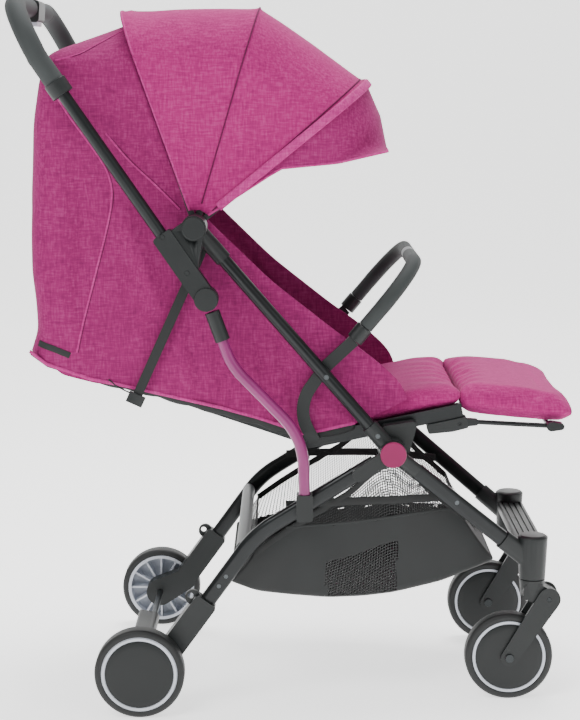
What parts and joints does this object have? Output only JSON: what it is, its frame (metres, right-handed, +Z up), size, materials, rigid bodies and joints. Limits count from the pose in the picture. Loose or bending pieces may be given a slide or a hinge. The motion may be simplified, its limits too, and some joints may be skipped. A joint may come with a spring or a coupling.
{
  "type": "baby stroller",
  "caption": "Compact folding baby stroller with a reclined seat, fabric canopy, bumper bar, mesh basket, swivel front wheels and a folding push frame.",
  "frame": {"origin": "middle of the footprint, on the floor under the four wheels", "axes": "+X forward, +Y to the left, +Z up; Y = 0 is the mirror plane"},
  "size_m": [0.8336, 0.4988, 1.0462],
  "materials": {
    "frame_black": "satin",
    "plastic_black": "satin",
    "bow_black": "matte",
    "seat_steel": "satin",
    "accent": "gloss",
    "accent_tube": "gloss",
    "fabric_main": "matte",
    "fabric_black": "matte",
    "foam": "matte",
    "band_grey": "satin",
    "tyre": "matte",
    "hub_grey": "satin",
    "light_grey": "satin",
    "steel": "satin",
    "button_red": "satin"
  },
  "bodies": {
    "chassis": {"front_tubes": "frame_black", "upper_sleeves": "plastic_black", "knee_joints": "plastic_black", "knee_caps": "accent", "front_legs": "frame_black", "caster_housings": "plastic_black", "footrest_step": "plastic_black", "seat_frame": "seat_steel", "seat_brackets": "plastic_black", "seat_pad": "fabric_main", "side_panels": "fabric_main", "rear_panel": "fabric_main", "bumper_struts": "plastic_black", "bumper_sockets": "plastic_black", "crotch_strap": "fabric_black", "harness_buckle": "plastic_black", "basket": "fabric_black", "frame_screws": "steel", "canopy_hubs": "plastic_black", "rear_bow": "bow_black", "recline_straps": "fabric_black", "canopy_fabric": "fabric_main"},
    "push_frame": {"push_tube": "frame_black", "handle_grip": "foam", "handle_collars": "plastic_black", "pivot_brackets": "plastic_black", "pivot_caps": "plastic_black", "fold_housing": "plastic_black"},
    "fold_trigger": {"fold_button": "light_grey"},
    "rear_legs": {"rear_leg_tubes": "frame_black", "brace_tubes": "accent_tube", "brace_fittings": "plastic_black", "rear_housings": "plastic_black", "rear_axle": "steel", "rear_cross_tube": "steel", "leg_rivets": "steel"},
    "brake": {"brake_pedal": "plastic_black"},
    "rear_wheel_left": {"rear_tyre_left": "tyre", "rear_hub_left": "hub_grey"},
    "rear_wheel_right": {"rear_tyre_right": "tyre", "rear_hub_right": "hub_grey"},
    "caster_left": {"caster_fork_left": "plastic_black", "caster_bolts_left": "steel"},
    "caster_right": {"caster_fork_right": "plastic_black", "caster_bolts_right": "steel"},
    "front_wheel_left": {"front_tyre_left": "tyre", "front_hub_left": "hub_grey"},
    "front_wheel_right": {"front_tyre_right": "tyre", "front_hub_right": "hub_grey"},
    "backrest": {"backrest_frame": "seat_steel", "backrest_pad": "fabric_main", "shoulder_straps": "fabric_black"},
    "legrest": {"legrest_frame": "seat_steel", "legrest_pad": "fabric_main"},
    "bumper": {"bumper_bar": "frame_black", "bumper_foam": "foam", "bumper_band": "band_grey"},
    "canopy_front": {"front_bow": "bow_black"},
    "canopy_mid": {"mid_bow": "bow_black"},
    "buckle_release": {"buckle_button": "button_red"}
  },
  "joints": [
    {"name": "fold", "type": "hinge", "parent": "chassis", "child": "push_frame", "pos_m": [-0.1433, 0, 0.717], "axis": [0, 1, 0], "range_deg": [0, 140]},
    {"name": "rear_fold", "type": "hinge", "parent": "chassis", "child": "rear_legs", "pos_m": [0.1427, 0, 0.388], "axis": [0, 1, 0], "range_deg": [-55, 0], "deforming": ["basket"]},
    {"name": "rear_spin_left", "type": "hinge", "parent": "rear_legs", "child": "rear_wheel_left", "pos_m": [-0.2273, 0.2344, 0.066], "axis": [0, 1, 0], "continuous": true},
    {"name": "rear_spin_right", "type": "hinge", "parent": "rear_legs", "child": "rear_wheel_right", "pos_m": [-0.2273, -0.2344, 0.066], "axis": [0, 1, 0], "continuous": true},
    {"name": "caster_swivel_left", "type": "hinge", "parent": "chassis", "child": "caster_left", "pos_m": [0.3567, 0.15, 0.185], "axis": [0, 0, 1], "continuous": true},
    {"name": "front_spin_left", "type": "hinge", "parent": "caster_left", "child": "front_wheel_left", "pos_m": [0.3227, 0.15, 0.066], "axis": [0, 1, 0], "continuous": true},
    {"name": "caster_swivel_right", "type": "hinge", "parent": "chassis", "child": "caster_right", "pos_m": [0.3567, -0.15, 0.185], "axis": [0, 0, 1], "continuous": true},
    {"name": "front_spin_right", "type": "hinge", "parent": "caster_right", "child": "front_wheel_right", "pos_m": [0.3227, -0.15, 0.066], "axis": [0, 1, 0], "continuous": true},
    {"name": "recline", "type": "hinge", "parent": "chassis", "child": "backrest", "pos_m": [0.02201, 0, 0.39608], "axis": [0, 1, 0], "range_deg": [0, 45], "deforming": ["side_panels", "rear_panel", "recline_straps"]},
    {"name": "legrest_tilt", "type": "hinge", "parent": "chassis", "child": "legrest", "pos_m": [0.24263, 0, 0.42473], "axis": [0, 1, 0], "range_deg": [0, 45]},
    {"name": "bumper_release", "type": "slide", "parent": "chassis", "child": "bumper", "axis": [0.6428, 0, 0.766], "range_m": [0, 0.03]},
    {"name": "canopy_open", "type": "hinge", "parent": "chassis", "child": "canopy_front", "pos_m": [-0.1433, 0, 0.717], "axis": [0, 1, 0], "range_deg": [-64, 0], "deforming": ["canopy_fabric"]},
    {"name": "canopy_mid_fold", "type": "hinge", "parent": "chassis", "child": "canopy_mid", "pos_m": [-0.1433, 0, 0.717], "axis": [0, 1, 0], "range_deg": [-32, 0]},
    {"name": "fold_press", "type": "slide", "parent": "push_frame", "child": "fold_trigger", "axis": [0, 0, 1], "range_m": [0, 0.004], "stiffness_N_per_m": 600, "springref_m": -0.0005},
    {"name": "brake_press", "type": "hinge", "parent": "rear_legs", "child": "brake", "pos_m": [-0.2273, 0, 0.066], "axis": [0, 1, 0], "range_deg": [-14, 0]},
    {"name": "buckle_press", "type": "slide", "parent": "chassis", "child": "buckle_release", "axis": [0.2086, 0, -0.978], "range_m": [0, 0.003], "stiffness_N_per_m": 500, "springref_m": -0.0005}
  ],
  "couplings": [
    {"joint": "rear_fold", "follows": "fold", "ratio": -0.39286},
    {"joint": "canopy_mid_fold", "follows": "canopy_open", "ratio": 0.5}
  ]
}
